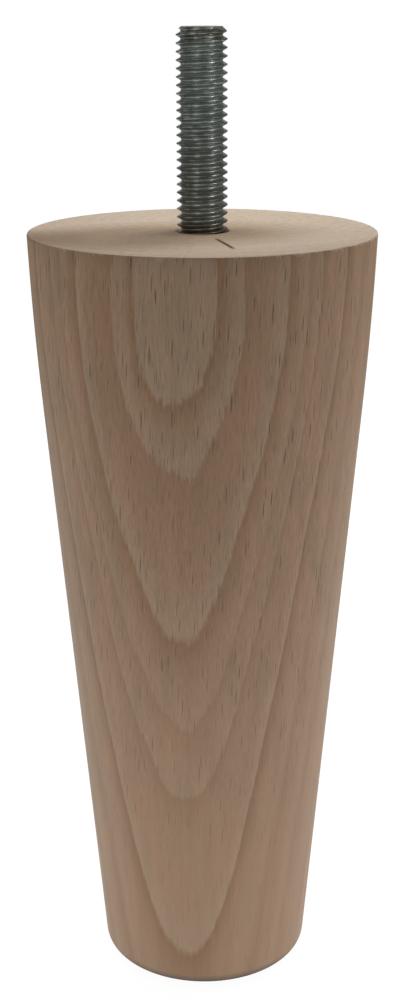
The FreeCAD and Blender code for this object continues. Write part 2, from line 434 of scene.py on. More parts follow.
print("chips reach down by mm", RIM_EDGE + CHIP_DEPTH)

# %% [markdown]
# ## Oil and painted shadow, and the edges of the split
#
# Bolts come with a film of oil, and dry end grain drinks it. Round the stud lies a soft brown oval, part
# oil stain and part the stud's soft shadows painted on, and near the rim a smaller darker mark. The
# edges of the drying split have browned. Each is a shade laid over the end grain by its distance from a
# point or a line, so the rings still show through.

# %% Colour of the end grain
# paler than the long grain, partly as painted light from above on the top
END_GRAIN_TOP_LIT = (0.620, 0.508, 0.393, 1.0)
END_BROWN_TOP_LIT = (0.496, 0.400, 0.305, 1.0)
END_FADE = (14.0, 34.0)  # mm from the pith, from the first to the second
# the oval round the stud is part oil stain and part painted shade of the stud's soft shadows
OIL_AND_SHADOW_TINT = (0.69, 0.63, 0.57, 1.0)
OIL_AND_SHADOW_PLACE = (-6.6, -4.9)  # mm, middle of the oval
OIL_AND_SHADOW_REACH = (28.6, 16.4)
OIL_AND_SHADOW_TURN = 0.29  # radians, from the X axis to its long way
OIL_AND_SHADOW_EDGE = (0.51, 1.02)  # shares of the reach between which it fades
MARK_PLACE = (-26.0, -8.0)
MARK_REACH = (11.0, 11.0)


def from_oval(sheet, spot, place, reach, turn=0.0):
    """0 in the middle of an oval on the top, and 1 on its edge."""
    over_x = spot[0] - place[0]
    over_y = spot[1] - place[1]
    along = over_x * math.cos(turn) + over_y * math.sin(turn)
    beside = over_y * math.cos(turn) - over_x * math.sin(turn)
    return sheet.length(along / reach[0], beside / reach[1])


def end_grain_light_and_shade(sheet, spot, distance):
    """Browner away from the pith and partly painted light, with the oil and the painted shadow over it.
    """
    colour = sheet.tint(distance.ramp(*END_FADE), END_GRAIN_TOP_LIT, END_BROWN_TOP_LIT)
    # part oil stain, part painted shadow of the stud
    oil_and_shadow = from_oval(sheet, spot, OIL_AND_SHADOW_PLACE, OIL_AND_SHADOW_REACH, OIL_AND_SHADOW_TURN).ramp(*OIL_AND_SHADOW_EDGE, 1.0, 0.0)
    colour = sheet.tint(oil_and_shadow, colour, OIL_AND_SHADOW_TINT, "MULTIPLY")
    mark = from_oval(sheet, spot, MARK_PLACE, MARK_REACH).between(1.0, 0.0)
    return sheet.tint(mark, colour, OIL_AND_SHADOW_TINT, "MULTIPLY")


print("oil oval mm", [2.0 * reach for reach in OIL_AND_SHADOW_REACH])

# %% Browned edges of the split
SPLIT_BEARING = 13.6  # degrees from the front towards the right
SPLIT_MIDDLE = 14.3  # mm from the axis
SPLIT_BROWN = (0.230, 0.120, 0.068, 1.0)
SPLIT_SIDE = (0.15, 0.55)  # mm beside it, over which the brown fades
SPLIT_END = (4.6, 5.8)  # mm from its middle, over which the brown fades


def facing(bearing):
    """The level direction at a bearing, in degrees from the front towards the right."""
    turn = math.radians(bearing)
    return Vector((math.sin(turn), -math.cos(turn), 0.0))


split_along = facing(SPLIT_BEARING)
split_aside = facing(SPLIT_BEARING + 90.0)


def split_brown(spot):
    """How far the wood beside the split has browned, from 0 to 1."""
    x, y = spot[:2]
    out = x * split_along.x + y * split_along.y
    aside = x * split_aside.x + y * split_aside.y
    beside = abs(aside).ramp(*SPLIT_SIDE, 1.0, 0.0)
    return beside * abs(out - SPLIT_MIDDLE).ramp(*SPLIT_END, 1.0, 0.0)


print("split runs towards", split_along)

# %% [markdown]
# ## The beech finish
#
# The leg is sanded and left raw, so the finish is dull, with only a faint sheen. The colours are those
# of steamed beech: a pale brown with some pink, more olive in places and browner in the late wood. The
# parts above are laid over each other here. The same patterns also drive the roughness and a shallow
# bump, because a ray or a fibre is open grain too. Along the foot's rounded edge, where it turns under
# towards the floor, a dark line of painted shade is laid on.

# %% Colours along the grain
EARLY_WOOD = (0.320, 0.199, 0.1165, 1.0)
PINK_WASH = (0.332, 0.199, 0.117, 1.0)
OLIVE_WASH = (0.285, 0.184, 0.103, 1.0)
LATE_WOOD = (0.242, 0.132, 0.062, 1.0)
PATCH_SIZE = (3.5, 14.0)  # mm across and along the grain
PINK_CLOUD = (0.48, 0.66)  # noise from none to all of the wash
OLIVE_CLOUD = (0.50, 0.34)
OLIVE_HEIGHT = (25.0, 80.0)  # mm above the floor, from little of the wash to all of it
OLIVE_LOW = 0.25
BROWN_START = (50.0, 75.0)  # mm above the floor, over which the wood turns a little browner
BROWN_END = (85.0, 112.0)
BROWN_SHARE = 0.16


def long_grain_colour(sheet, spot):
    """Early wood, with patches that are pinker or, higher up, more olive, and a browner stretch."""
    height = spot[2]
    patches = stretched(sheet, spot, PATCH_SIZE)
    colour = sheet.tint(patches.ramp(*PINK_CLOUD), EARLY_WOOD, PINK_WASH)
    olive = patches.ramp(*OLIVE_CLOUD) * height.ramp(*OLIVE_HEIGHT, OLIVE_LOW, 1.0)
    colour = sheet.tint(olive, colour, OLIVE_WASH)
    brown = height.ramp(*BROWN_START) * height.ramp(*BROWN_END, BROWN_SHARE, 0.0)
    return sheet.tint(brown, colour, LATE_WOOD)


print("early wood", EARLY_WOOD[:3], "late wood", LATE_WOOD[:3])

# %% Fibres, and painted shade at the foot
FIBRE_SHADE = 0.18
FIBRE_CLOUD = (0.25, 0.75)
FIBRE_HEIGHT = (20.0, 80.0)  # mm above the floor, from faint fibres to clear ones
FIBRE_LOW = 0.3
STREAK_SIZE = (1.4, 30.0)  # mm across and along the grain
STREAK_SHADE = 0.05
STREAK_CLOUD = (0.3, 0.7)
FOOT_EDGE_SHADE_SHARE = 0.85
FOOT_EDGE_SHADE_HEIGHT = (1.3, 2.7)  # mm above the floor, over which the painted shade fades
FOOT_EDGE_SHADE_RADIUS = (14.2, 15.4)  # mm from the axis, over which it starts


def fibre_shade(sheet, spot, fibres):
    """A factor near 1 that makes fine fibres and broader streaks."""
    fine = fibres.ramp(*FIBRE_CLOUD, -FIBRE_SHADE, FIBRE_SHADE)
    fine = fine * spot[2].ramp(*FIBRE_HEIGHT, FIBRE_LOW, 1.0)
    streaks = stretched(sheet, spot, STREAK_SIZE)
    return fine + 1.0 + streaks.ramp(*STREAK_CLOUD, -STREAK_SHADE, STREAK_SHADE)


def painted_foot_edge_shade(sheet, spot):
    """The painted shade on the rounded edge of the foot, as a share from 0 to 1."""
    x, y, z = spot
    return z.ramp(*FOOT_EDGE_SHADE_HEIGHT, FOOT_EDGE_SHADE_SHARE, 0.0) * sheet.length(x, y).ramp(*FOOT_EDGE_SHADE_RADIUS)


print("shade of the fibres", FIBRE_SHADE, "and of the streaks", STREAK_SHADE)

# %% Colour of the beech, all layers
PALE_WOOD = (0.340, 0.238, 0.152, 1.0)
PALE_SHARE = 0.65
LATE_SHARES = (0.9, 0.27)  # of the late wood's brown, along the grain and on the end grain
RAY_BROWN = (0.105, 0.052, 0.025, 1.0)
RAY_HEIGHT = (15.0, 85.0)  # mm above the floor, from faint dashes to clear ones
RAY_SHARES = (0.25, 0.95)
CRUMB_CLOUD = (0.40, 0.65)  # crumbs that break up the rays on the end grain
CRUMB_SHARE = 0.55
# colour of the painted shade along the foot's rounded edge
FOOT_EDGE_SHADE_BROWN = (0.085, 0.055, 0.038, 1.0)


def beech_colour(sheet, spot, distance, angle, dashes, end_grain, crumbs, fibres):
    """Every layer of the wood's colour, from the lowest up."""
    colour = long_grain_colour(sheet, spot)
    # the end grain's colour: partly painted light, with oil and painted shadow over it
    sawn_lit_and_shaded = sheet.tint(split_brown(spot), end_grain_light_and_shade(sheet, spot, distance), SPLIT_BROWN)
    colour = sheet.tint(end_grain, colour, sawn_lit_and_shaded)
    shifted = ring_distance(sheet, spot, distance, angle)
    dark, pale = front_rings(sheet, shifted)
    dark = sheet.most(inner_rings(sheet, shifted), dark)
    colour = sheet.tint(pale * PALE_SHARE, colour, PALE_WOOD)
    colour = sheet.tint(dark * end_grain.between(*LATE_SHARES), colour, LATE_WOOD)
    clear = spot[2].ramp(*RAY_HEIGHT, *RAY_SHARES)
    broken = crumbs.ramp(*CRUMB_CLOUD, 0.0, CRUMB_SHARE)
    colour = sheet.tint(dashes * end_grain.between(clear, broken), colour, RAY_BROWN)
    shade = fibre_shade(sheet, spot, fibres)
    colour = sheet.tint(1.0, colour, sheet.triple(shade, shade, shade), "MULTIPLY")
    # painted shade along the foot's rounded edge
    return sheet.tint(painted_foot_edge_shade(sheet, spot), colour, FOOT_EDGE_SHADE_BROWN)


print("rays at the foot and at the top", RAY_SHARES)

# %% Beech material
FIBRE_SIZE = (0.25, 3.0)  # mm across and along the grain
SANDED_CLOUD = (0.2, 0.8)
SANDED_ROUGHNESS = (0.50, 0.64)
END_ROUGHNESS = 0.95  # sawn end grain has open pores and next to no sheen
SHEEN = 0.4
BUMP_DEPTH = 0.05 * MM
BUMP_STRENGTH = 0.3
RAY_GROOVE = 0.8  # depth of a ray, as a share of the bump's


def make_beech():
    material, sheet, shader = surface_material("beech")
    spot, distance, angle = place_in_tree(sheet)
    dashes = ray_dashes(sheet, spot[2], distance, angle)
    end_grain, crumbs = end_grain_share(sheet, spot)
    fibres = stretched(sheet, spot, FIBRE_SIZE, detail=3.0, roughness=0.65)
    colour = beech_colour(sheet, spot, distance, angle, dashes, end_grain, crumbs, fibres)
    sheet.feed(shader.inputs["Base Color"], colour)
    sanded = fibres.ramp(*SANDED_CLOUD, *SANDED_ROUGHNESS)
    sheet.feed(shader.inputs["Roughness"], end_grain.between(sanded, END_ROUGHNESS))
    shader.inputs["Specular IOR Level"].default_value = SHEEN
    height = (1.0 - end_grain) * (fibres - dashes * RAY_GROOVE)
    bump = sheet.add("ShaderNodeBump")
    grain = sheet.through(bump, "Normal", Strength=BUMP_STRENGTH, Distance=BUMP_DEPTH, Height=height)
    sheet.feed(shader.inputs["Normal"], grain)
    return material


beech = make_beech()
print("beech nodes", len(beech.node_tree.nodes))

# %% [markdown]
# ## The turned leg
#
# A lathe sweeps one outline round an axis, so the mesh is made the same way. The outline runs from the
# middle of the foot, round the foot's edge, up the straight taper and its eased shoulder, over the rim
# and across the top, then down the stepped bore that holds the bolt. Each round stretch is an arc with
# its own radius. A Screw modifier would spin it too, but rings made here close the two poles with no
# doubled points.

# %% Arcs and straight stretches


def arc(middle, radius, start, end, steps):
    """Points of a round stretch of the outline, from one angle to the other, in degrees."""
    points = []
    for step in range(steps + 1):
        turn = math.radians(start + (end - start) * step / steps)
        points.append((middle[0] + radius * math.cos(turn), middle[1] + radius * math.sin(turn)))
    return points


def straight(start, end, row):
    """Points between two places on the outline, both left out, about one row apart."""
    count = max(1, round(math.dist(start, end) / row))
    return [Vector(start).lerp(Vector(end), step / count) for step in range(1, count)]


print("a quarter circle in two steps", arc((0.0, 0.0), 1.0, 0.0, 90.0, 2))

# %% The outline of the turning
FOOT_RADIUS = 17.0 * MM  # of the taper at the floor, before its edge is rounded
FOOT_ROUND = 3.25 * MM
FOOT_STEPS = 14
SHOULDER_DROP = 28.0 * MM  # below the top, where the taper starts to ease off
SHOULDER_BOW = 0.7 * MM  # how far the eased rim stands inside the straight taper
SHOULDER_STEPS = 12
RIM_BREAK = 0.25 * MM
RIM_STEPS = 5
TAPER_ROW = 5.0 * MM  # height of one row of faces along the taper


def outside_outline():
    """From the foot's edge up to the rim."""
    slope = (TOP_RADIUS + SHOULDER_BOW - FOOT_RADIUS) / LEG_HEIGHT
    tilt = math.degrees(math.atan(slope))
    foot_inset = FOOT_ROUND * (math.hypot(1.0, slope) - slope)
    foot = arc((FOOT_RADIUS - foot_inset, FOOT_ROUND), FOOT_ROUND, -90.0, -tilt, FOOT_STEPS)
    shoulder_height = LEG_HEIGHT - SHOULDER_DROP
    shoulder = Vector((FOOT_RADIUS + slope * shoulder_height, shoulder_height))
    inward = Vector((-1.0, slope)).normalized()
    chord = Vector((TOP_RADIUS, LEG_HEIGHT)) - shoulder
    ease_radius = chord.length_squared / (2.0 * chord.dot(inward))
    ease_middle = shoulder + inward * ease_radius
    rim_height = LEG_HEIGHT - RIM_BREAK
    rim_turn = math.degrees(math.asin((rim_height - ease_middle.y) / ease_radius))
    ease = arc(ease_middle, ease_radius, -tilt, rim_turn, SHOULDER_STEPS)
    rim = arc((ease[-1][0] - RIM_BREAK, rim_height), RIM_BREAK, rim_turn, 90.0, RIM_STEPS)
    return foot + straight(foot[-1], ease[0], TAPER_ROW) + ease + rim[1:]


outside = outside_outline()
print("outside points", len(outside), "widest mm", max(radius for radius, height in outside) / MM)

# %% The bore, and the whole outline
MOUTH_RADIUS = 4.3 * MM  # countersunk mouth of the bore
MOUTH_DEPTH = 0.7 * MM
NECK_BORE = 3.6 * MM
NECK_DEPTH = 4.0 * MM
SCREW_BORE = 2.85 * MM
BORE_DEPTH = 39.0 * MM
DRILL_POINT = 1.6 * MM

mouth = (MOUTH_RADIUS, LEG_HEIGHT)
bore = [
    mouth,
    (NECK_BORE, LEG_HEIGHT - MOUTH_DEPTH),
    (NECK_BORE, LEG_HEIGHT - NECK_DEPTH),
    (SCREW_BORE, LEG_HEIGHT - NECK_DEPTH),
    (SCREW_BORE, LEG_HEIGHT - BORE_DEPTH),
    (0.0, LEG_HEIGHT - BORE_DEPTH - DRILL_POINT),
]
outline = [(0.0, 0.0)] + outside + straight(outside[-1], mouth, TAPER_ROW) + bore
print("outline points", len(outline), "bore ends at mm", bore[-1][1] / MM)

# %% Spin the outline
TURNING_SEGMENTS = 480


def as_mesh(name, shape):
    """A plain mesh from the faces drawn so far, all pointing outwards."""
    bmesh.ops.recalc_face_normals(shape, faces=shape.faces)
    mesh = bpy.data.meshes.new(name)
    shape.to_mesh(mesh)
    shape.free()
    return mesh


def circle(radius, height, segments):
    """Places at even steps round the axis."""
    turns = [2.0 * math.pi * step / segments for step in range(segments)]
    return [(radius * math.cos(turn), radius * math.sin(turn), height) for turn in turns]


def spin(name, points, segments):
    """A closed mesh from a half outline. A point on the axis becomes a pole."""
    shape = bmesh.new()
    rings = []
    for radius, height in points:
        if radius == 0.0:
            rings.append([shape.verts.new((0.0, 0.0, height))] * segments)
        else:
            rings.append([shape.verts.new(place) for place in circle(radius, height, segments)])
    for ring, following in zip(rings, rings[1:]):
        for step in range(segments):
            after = (step + 1) % segments
            corners = [ring[step], ring[after], following[after], following[step]]
            shape.faces.new(list(dict.fromkeys(corners)))
    return as_mesh(name, shape)


def show(name, mesh):
    """Puts a mesh in the scene as an object at the origin."""
    thing = bpy.data.objects.new(name, mesh)
    bpy.context.scene.collection.objects.link(thing)
    return thing


leg = show("turned_leg", spin("turned_leg", outline, TURNING_SEGMENTS))
print("leg faces", len(leg.data.polygons))

# %% [markdown]
# ## The drying split
#
# End grain dries first, and here it has opened in a short split that runs outwards from near the stud.
# A dark line in the material would look painted from close by, so the split is really cut. The cutter
# is a thin wedge, widest in the middle, whose line wanders a little as wood fibres do. A Boolean takes
# it out of the leg.

# %% The cutter
UP = Vector((0.0, 0.0, 1.0))
SPLIT_START = 9.4 * MM  # inner end, from the axis
SPLIT_LENGTH = 9.9 * MM
SPLIT_WIDTH = 0.35 * MM
SPLIT_DEPTH = 3.0 * MM
SPLIT_STATIONS = 24
SPLIT_WANDER = 0.12 * MM
SPLIT_BENDS = 5.0  # lumps of noise along the split
SPLIT_SEED = 0.7
SPLIT_TIP = 0.01  # least square of the opening, so that the ends keep a width
CUTTER_RISE = 1.0 * MM  # how far the cutter stands above the wood


def split_station(share):
    """The three corners of the wedge at one place along the split."""
    opening = math.sqrt(max(1.0 - (2.0 * share - 1.0) ** 2, SPLIT_TIP))
    wander = SPLIT_WANDER * noise.noise((SPLIT_BENDS * share, 0.0, SPLIT_SEED))
    middle = split_along * (SPLIT_START + SPLIT_LENGTH * share) + split_aside * wander
    half = 0.5 * SPLIT_WIDTH * opening
    slant = half * CUTTER_RISE / (SPLIT_DEPTH * opening)
    upper = UP * (LEG_HEIGHT + CUTTER_RISE)
    lower = UP * (LEG_HEIGHT - SPLIT_DEPTH * opening)
    wide = split_aside * (half + slant)
    return (middle - wide + upper, middle + wide + upper, middle + lower)


def split_cutter():
    """A wedge along the split, closed at both ends."""
    shape = bmesh.new()
    stations = []
    for step in range(SPLIT_STATIONS + 1):
        stations.append([shape.verts.new(place) for place in split_station(step / SPLIT_STATIONS)])
    for here, there in zip(stations, stations[1:]):
        for corner in range(3):
            following = (corner + 1) % 3
            shape.faces.new((here[corner], here[following], there[following], there[corner]))
    shape.faces.new(stations[0])
    shape.faces.new(stations[-1])
    return show("split_cutter", as_mesh("split_cutter", shape))


cutter = split_cutter()
print("cutter faces", len(cutter.data.polygons))

# %% Plain, closed and smooth meshes
MERGE_WITHIN = 0.0005 * MM


def keep_result(thing):
    """Turns what the modifiers give into the object's own plain mesh."""
    evaluated = thing.evaluated_get(bpy.context.evaluated_depsgraph_get())
    mesh = bpy.data.meshes.new_from_object(evaluated)
    before = thing.data
    thing.modifiers.clear()
    thing.data = mesh
    bpy.data.meshes.remove(before)
    mesh.name = thing.name


def face_outwards(mesh):
    """Drops faces that collapsed to a line, and points the rest outwards."""
    shape = bmesh.new()
    shape.from_mesh(mesh)
    bmesh.ops.dissolve_degenerate(shape, dist=MERGE_WITHIN, edges=shape.edges)
    bmesh.ops.recalc_face_normals(shape, faces=shape.faces)
    open_edges = sum(1 for edge in shape.edges if not edge.is_manifold)
    print(mesh.name, "faces", len(shape.faces), "open edges", open_edges)
    print(mesh.name, "volume mm3", shape.calc_volume() / MM**3)
    shape.to_mesh(mesh)
    shape.free()


def smooth(mesh, sharp_angle):
    """Smooth faces, with true edges where the surface turns by more than the angle."""
    mesh.shade_smooth()
    mesh.set_sharp_from_angle(angle=sharp_angle)


print("points merge within mm", MERGE_WITHIN / MM)

# %% Cut the split
LEG_SHARP = math.radians(40.0)

carve = leg.modifiers.new("split", "BOOLEAN")
carve.operation = "DIFFERENCE"
carve.solver = "EXACT"
carve.object = cutter
keep_result(leg)
bpy.data.objects.remove(cutter)
face_outwards(leg.data)
smooth(leg.data, LEG_SHARP)
leg.data.materials.clear()
leg.data.materials.append(beech)

# %% [markdown]
# ## Zinc plate
#
# Bright zinc is a bluish grey that soon dulls. It could be one flat grey, but a bought bolt is never
# clean: clouds of duller plate lie over it, the roots of the thread are darker, a dark film breaks up
# the shine of the crests, and brown oil collects at its tip. Where the stud leaves the wood the same
# brown is laid on as painted shade. The mesh itself notes how high on the thread each point lies, so
# the material can tell a root from a crest.

# %% Zinc, dull plate, darker roots and film
ZINC = (0.43, 0.465, 0.44, 1.0)
ZINC_DULL = (0.31, 0.34, 0.32, 1.0)
ZINC_CLOUD = (0.3, 0.7)
ROOT_DARK_GREY = (0.250, 0.270, 0.247, 1.0)
ROOT_DARK_SHARE = 0.2
ROOT_DARK_HEIGHT = 0.45  # share of the thread's height that the darker roots reach up to
CREST_FILM = (0.130, 0.145, 0.132, 1.0)
FILM_PATCH = 2.0  # mm
FILM_CLOUD = (0.38, 0.56)
FILM_HEIGHT = (0.5, 0.95)  # shares of the thread's height, from no film to all of it
FILM_SHARE = 0.9


def plate_colour(sheet, place, clouds, thread):
    """The plate, with darker roots and a film on the crests."""
    colour = sheet.tint(clouds.ramp(*ZINC_CLOUD), ZINC, ZINC_DULL)
    colour = sheet.tint(thread.ramp(0.0, ROOT_DARK_HEIGHT, ROOT_DARK_SHARE, 0.0), colour, ROOT_DARK_GREY)
    film = sheet.cloud(sheet.scaled(place, 1.0 / FILM_PATCH), 1.0).ramp(*FILM_CLOUD)
    film = film * thread.ramp(*FILM_HEIGHT, 0.0, FILM_SHARE)
    return sheet.tint(film, colour, CREST_FILM)


print("zinc", ZINC[:3], "film", CREST_FILM[:3])

# %% Zinc material
# brown of the oil at the tip, also used as painted shade at the stud's foot
OIL_AND_SHADE_BROWN = (0.150, 0.115, 0.075, 1.0)
STUD_FOOT_SHADE = 2.5  # mm of the stud above the wood that the painted shade covers
STUD_FOOT_SHADE_SHARE = 0.85
OILY_TIP = (3.0, 1.0)  # mm below the tip, from no oil to all of it
OILY_TIP_SHARE = 0.7
BLOT_CLOUD = (0.42, 0.60)
ZINC_ROUGHNESS = (0.24, 0.46)


def oil_and_shade_on_stud(sheet, place):
    """Painted shade where the stud leaves the wood, and brown oil at the tip, from 0 to 1."""
    height = sheet.apart(place)[2]
    wood_top = LEG_HEIGHT / MM
    stud_tip = bolt_high.z / MM
    # painted shade just above the wood
    painted_shade_at_wood = height.ramp(wood_top, wood_top + STUD_FOOT_SHADE, STUD_FOOT_SHADE_SHARE, 0.0)
    at_tip = height.ramp(stud_tip - OILY_TIP[0], stud_tip - OILY_TIP[1], 0.0, OILY_TIP_SHARE)
    return sheet.most(painted_shade_at_wood, at_tip * sheet.cloud(place, 1.0).ramp(*BLOT_CLOUD))


def make_zinc():
    material, sheet, shader = surface_material("zinc_steel")
    place = sheet.scaled(own_place(sheet), 1.0 / MM)
    clouds = sheet.cloud(place, 3.0)
    thread = sheet.out(sheet.add("ShaderNodeAttribute", attribute_name="thread_height"), "Fac")
    colour = plate_colour(sheet, place, clouds, thread)
    colour = sheet.tint(oil_and_shade_on_stud(sheet, place), colour, OIL_AND_SHADE_BROWN)
    sheet.feed(shader.inputs["Base Color"], colour)
    shader.inputs["Metallic"].default_value = 1.0
    sheet.feed(shader.inputs["Roughness"], clouds.ramp(*ZINC_CLOUD, *ZINC_ROUGHNESS))
    return material


zinc_steel = make_zinc()
print("zinc nodes", len(zinc_steel.node_tree.nodes))

# %% [markdown]
# ## The hanger bolt
#
# A hanger bolt has a machine thread at one end and a wood screw at the other, with a plain neck
# between. A thread could be a profile swept along a spiral, but its ends stay open and the core has to
# be joined on. Here the whole bolt is one grid, rolled up and sheared so that its rows climb with the
# thread. Each row keeps its place in the thread's section, so the crests stay crisp, and where the grid
# meets itself the points merge into one closed skin.

# %% Sizes of the bolt
STUD_LENGTH = bolt_high.z - LEG_HEIGHT
SCREW_DEPTH = LEG_HEIGHT - bolt_low.z - NECK_DEPTH  # wood screw with its point
BOLT_INPUTS = {
    "Stud length": STUD_LENGTH,
    "Stud pitch": 1.25 * MM,
    "Stud crest": 3.97 * MM,
    "Stud root": 3.25 * MM,
    "Tip radius": 3.2 * MM,
    "Neck length": NECK_DEPTH,
    "Neck radius": 3.55 * MM,
    "Screw length": SCREW_DEPTH,
    "Screw pitch": 3.0 * MM,
    "Screw crest": 3.5 * MM,
    "Screw core": 2.8 * MM,
    "Point length": 7.0 * MM,
    "Lowest": bolt_low.z,
}
print("stud mm", STUD_LENGTH / MM, "wood screw mm", SCREW_DEPTH / MM)

# %% The rule of the bolt: a grid, and each point's row
ROWS_PER_TURN = 16
BOLT_SEGMENTS = 72


def bolt_grid(sheet, size):
    """A flat grid, with each point's row, the last row and its share of the way round."""
    screw_turns = size["Screw length"] / size["Screw pitch"]
    upper_turns = (size["Neck length"] + size["Stud length"]) / size["Stud pitch"]
    rows = sheet.calc("CEIL", (screw_turns + upper_turns + 1.0) * ROWS_PER_TURN)
    grid = sheet.add("GeometryNodeMeshGrid")
    mesh = sheet.through(grid, "Mesh", 1.0, 1.0, BOLT_SEGMENTS + 1, rows + 2.0)
    place = sheet.out(sheet.add("GeometryNodeInputPosition"), "Position")
    across, along = sheet.apart(place)[:2]
    last_row = rows + 1.0
    row = sheet.calc("ROUND", (along + 0.5) * last_row)
    return mesh, row, last_row, across + 0.5


print("points in one turn", ROWS_PER_TURN * BOLT_SEGMENTS)

# %% The rule of the bolt: height and thread
STUD_CREST_HALF = 0.06  # shares of one turn, from the crest's middle
STUD_ROOT_START = 0.40
SCREW_CREST_HALF = 0.03
SCREW_ROOT_START = 0.17


def bolt_height(sheet, size, row_turn, around):
    """How far above the bolt's lower end each point lies, and the bolt's whole length."""
    screw_turns = size["Screw length"] / size["Screw pitch"]
    turn = row_turn + around - 1.0
    in_screw = turn * size["Screw pitch"]
    past_screw = (turn - screw_turns) * size["Stud pitch"] + size["Screw length"]
    climb = sheet.least(in_screw, past_screw)
    whole = size["Screw length"] + (size["Neck length"] + size["Stud length"])
    return sheet.least(sheet.most(climb, 0.0), whole), whole


def bolt_threads(sheet, row_turn):
    """How high on each of the two threads a row lies, 0 in the root and 1 on the crest."""
    from_crest = abs(sheet.calc("FRACT", row_turn) - 0.5)
    stud_thread = from_crest.ramp(STUD_ROOT_START, STUD_CREST_HALF)
    screw_thread = from_crest.ramp(SCREW_ROOT_START, SCREW_CREST_HALF)
    return stud_thread, screw_thread


print("stud crest mm", 2.0 * STUD_CREST_HALF * BOLT_INPUTS["Stud pitch"] / MM)

# %% The rule of the bolt: radius
RUN_OUT = 0.3 * MM  # height over which the neck becomes thread


def bolt_radius(sheet, size, height, whole, stud_thread, screw_thread):
    """Wood screw with its point, then neck, then stud with its bevelled tip, and the thread's height."""
    stud = stud_thread.between(size["Stud root"], size["Stud crest"])
    stud = sheet.least(stud, size["Tip radius"] + (whole - height))
    screw = screw_thread.between(size["Screw core"], size["Screw crest"])
    screw = screw * height.ramp(0.0, size["Point length"])
    neck_start = size["Screw length"]
    neck_end = neck_start + size["Neck length"]
    to_neck = height.ramp(neck_start - RUN_OUT, neck_start)
    to_stud = height.ramp(neck_end - RUN_OUT, neck_end)
    radius = to_stud.between(to_neck.between(screw, size["Neck radius"]), stud)
    return radius, to_stud.between(screw_thread, stud_thread)


print("neck runs out over mm", RUN_OUT / MM)

# %% The rule of the bolt: roll the grid up


def rolled_up(sheet, size):
    """Each point's place on the bolt, and the finished mesh."""
    mesh, row, last_row, around = bolt_grid(sheet, size)
    row_turn = row / ROWS_PER_TURN
    height, whole = bolt_height(sheet, size, row_turn, around)
    threads = bolt_threads(sheet, row_turn)
    radius, thread_height = bolt_radius(sheet, size, height, whole, *threads)
    radius = radius * sheet.calc("LESS_THAN", row, last_row - 0.5)  # the last row closes the tip
    angle = around * (2.0 * math.pi)
    x = radius * sheet.calc("COSINE", angle)
    y = radius * sheet.calc("SINE", angle)
    place = sheet.triple(x, y, height + size["Lowest"])
    steps = (
        ("StoreNamedAttribute", {"Name": "thread_height", "Value": thread_height}),
        ("SetPosition", {"Position": place}),
        ("MergeByDistance", {"Distance": MERGE_WITHIN}),
        ("RealizeInstances", {}),
        ("SetMaterial", {"Material": size["Material"]}),
    )
    for kind, inputs in steps:
        mesh = sheet.through(sheet.add("GeometryNode" + kind), "Geometry", mesh, **inputs)
    return mesh


def bolt_tree():
    """A node group that makes the whole bolt, and the identifiers of its inputs by name."""
    tree = bpy.data.node_groups.new("hanger_bolt", "GeometryNodeTree")
    tree.interface.new_socket("Geometry", in_out="OUTPUT", socket_type="NodeSocketGeometry")
    sockets = {}
    for name, value in BOLT_INPUTS.items():
        socket = tree.interface.new_socket(name, in_out="INPUT", socket_type="NodeSocketFloat")
        socket.default_value = value
        sockets[name] = socket.identifier
    metal = tree.interface.new_socket("Material", in_out="INPUT", socket_type="NodeSocketMaterial")
    sockets["Material"] = metal.identifier
    sheet = NodeSheet(tree)
    given = sheet.add("NodeGroupInput")
    size = {name: sheet.out(given, name) for name in sockets}
    sheet.feed(sheet.add("NodeGroupOutput").inputs["Geometry"], rolled_up(sheet, size))
    return tree, sockets


tree, sockets = bolt_tree()
print("bolt nodes", len(tree.nodes), "inputs", len(sockets))

# %% Make the bolt
BOLT_SHARP = math.radians(75.0)  # a rolled thread has rounded crests and roots

bolt = show("threaded_bolt", bpy.data.meshes.new("threaded_bolt"))
roll = bolt.modifiers.new("hanger_bolt", "NODES")
roll.node_group = tree
for name, value in BOLT_INPUTS.items():
    roll[sockets[name]] = value
roll[sockets["Material"]] = zinc_steel
keep_result(bolt)
face_outwards(bolt.data)
smooth(bolt.data, BOLT_SHARP)

# %% [markdown]
# ## Each piece stands for its solid
#
# Both meshes have the sizes of the solids and take their place in the picture. Nothing on this leg
# moves against anything else, so both ride on the one body.

# %% Tie the pieces to the frame
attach(leg, "root")
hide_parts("leg")
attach(bolt, "root")
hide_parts("hanger_bolt")
print("pieces", leg.name, bolt.name)

# %% [markdown]
# ## Camera
#
# The camera stands close in front, a little above the top, and looks down by about seventeen degrees.
# From there the top shows as a flat ellipse and the taper draws in towards the foot.

# %% Camera
CAMERA_BACK = 271.7 * MM
CAMERA_HEIGHT = 163.0 * MM
CAMERA_PITCH = 0.2937  # radians below level
CAMERA_ROLL = 0.0037
CAMERA_LENS = 62.15  # on Blender's 36 mm sensor
CAMERA_SHIFT = -0.0018

camera_data = bpy.data.cameras.new("camera")
camera_data.lens = CAMERA_LENS
camera_data.shift_x = CAMERA_SHIFT
camera = show("camera", camera_data)
camera.location = (0.0, -CAMERA_BACK, CAMERA_HEIGHT)
look = Euler((math.pi / 2.0 - CAMERA_PITCH, 0.0, 0.0)).to_matrix()
camera.rotation_euler = (look @ Matrix.Rotation(-CAMERA_ROLL, 3, "Z")).to_euler()
bpy.context.scene.camera = camera
print("camera mm", [round(part / MM, 1) for part in camera.location])

# %% [markdown]
# ## Floor
#
# The leg stands on a white table top. A white floor under enough lamps would do it, but then the wood
# would bleach. So the floor looks white to the camera and in mirrors, while for light that spreads it
# is a pool round the leg, lit to a plain level and fading outwards: that light climbs the taper from
# below. Close round the foot the leg itself keeps the floor dark. A small share of the floor is
# ordinary diffuse white, so the leg leaves a soft shadow.

